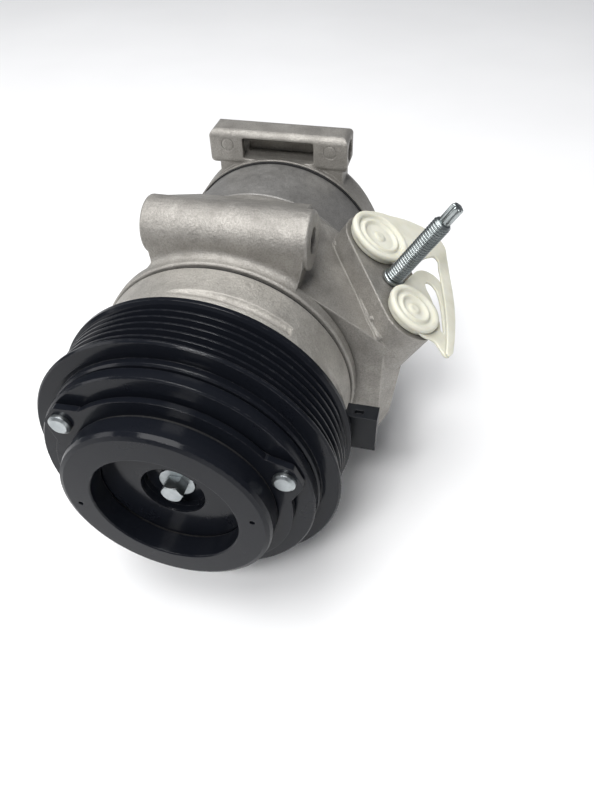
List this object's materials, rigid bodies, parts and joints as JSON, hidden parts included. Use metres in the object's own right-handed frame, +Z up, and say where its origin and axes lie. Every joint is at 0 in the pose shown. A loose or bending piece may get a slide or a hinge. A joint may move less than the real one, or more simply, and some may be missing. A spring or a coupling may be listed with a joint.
{
  "type": "automotive air-conditioning compressor",
  "caption": "Belt-driven double-headed piston compressor with a six-groove pulley, magnetic clutch, capped ports and tubular mounting lugs.",
  "frame": {"origin": "on the shaft axis, in the middle plane of the belt grooves", "axes": "+Y along the shaft from the pulley towards the rear head, +Z up towards the upper mounting lugs, +X towards the ports"},
  "size_m": [0.1587, 0.1995, 0.1476],
  "materials": {
    "cast_aluminium": "sand-cast, satin",
    "machined_aluminium": "machined",
    "black_paint": "gloss black",
    "bare_steel": "ground",
    "zinc_steel": "zinc plated",
    "spring_steel": "blued",
    "ivory_plastic": "translucent",
    "black_plastic": "moulded",
    "black_rubber": "matt",
    "copper": "enamelled wire",
    "epoxy": "cast",
    "brass": "machined"
  },
  "bodies": {
    "housing": {"front_head": "cast_aluminium", "front_block": "cast_aluminium", "rear_block": "cast_aluminium", "rear_head": "cast_aluminium", "front_gasket": "black_rubber", "middle_gasket": "black_rubber", "rear_o_ring": "black_rubber", "front_valve_plate": "bare_steel", "rear_valve_plate": "bare_steel", "front_reed_disc": "spring_steel", "rear_reed_disc": "spring_steel", "through_bolts": "zinc_steel", "bolt_washers": "zinc_steel", "dowel_pins": "bare_steel", "oil_plug": "zinc_steel", "relief_valve": "brass", "port_stud": "zinc_steel", "shaft_seal": "black_rubber", "seal_circlip": "spring_steel", "pulley_circlip": "spring_steel", "coil_circlip": "spring_steel", "front_needle_cup": "bare_steel", "rear_needle_cup": "bare_steel", "thrust_bearings": "bare_steel", "swash_plate": "bare_steel", "piston_1": "machined_aluminium", "piston_2": "machined_aluminium", "piston_3": "machined_aluminium", "piston_4": "machined_aluminium", "piston_5": "machined_aluminium", "piston_shoes": "bare_steel", "coil_shell": "bare_steel", "coil_winding": "copper", "coil_potting": "epoxy", "coil_connector": "black_plastic", "coil_terminals": "zinc_steel", "bearing_inner_race": "bare_steel"},
    "pulley_rotor": {"pulley": "black_paint", "bearing_outer_race": "bare_steel", "bearing_shields": "black_rubber"},
    "ball_set": {"bearing_balls": "bare_steel"},
    "shaft_line": {"drive_shaft": "bare_steel", "clutch_hub": "black_paint", "hub_plate": "black_paint", "hub_floor_ring": "black_paint", "damper_rubber": "black_rubber", "damper_ring": "black_paint", "hub_bolt": "zinc_steel", "hub_washer": "zinc_steel", "hub_shims": "bare_steel", "hub_rivets": "zinc_steel", "leaf_springs": "spring_steel"},
    "armature": {"armature_plate": "black_paint", "armature_rivets": "bare_steel"},
    "needle_sets": {"front_needles": "bare_steel", "rear_needles": "bare_steel"},
    "port_caps": {"suction_cap": "ivory_plastic", "discharge_cap": "ivory_plastic", "cap_strap": "ivory_plastic"}
  },
  "joints": [
    {"name": "shaft_spin", "type": "hinge", "parent": "housing", "child": "shaft_line", "pos_m": [0, 0, 0], "axis": [0, 1, 0], "continuous": true},
    {"name": "pulley_spin", "type": "hinge", "parent": "housing", "child": "pulley_rotor", "pos_m": [0, 0, 0], "axis": [0, 1, 0], "continuous": true},
    {"name": "ball_orbit", "type": "hinge", "parent": "housing", "child": "ball_set", "pos_m": [0, 0, 0], "axis": [0, 1, 0], "continuous": true},
    {"name": "needle_orbit", "type": "hinge", "parent": "housing", "child": "needle_sets", "pos_m": [0, 0, 0], "axis": [0, 1, 0], "continuous": true},
    {"name": "armature_slide", "type": "slide", "parent": "shaft_line", "child": "armature", "axis": [0, 1, 0], "range_m": [0, 0.00045], "stiffness_N_per_m": 40000, "springref_m": -0.0005},
    {"name": "caps_pull", "type": "slide", "parent": "housing", "child": "port_caps", "axis": [0.5299, 0, 0.848], "range_m": [0, 0.012]}
  ],
  "couplings": [
    {"joint": "ball_orbit", "follows": "pulley_spin", "ratio": 0.571},
    {"joint": "needle_orbit", "follows": "shaft_spin", "ratio": 0.429}
  ]
}
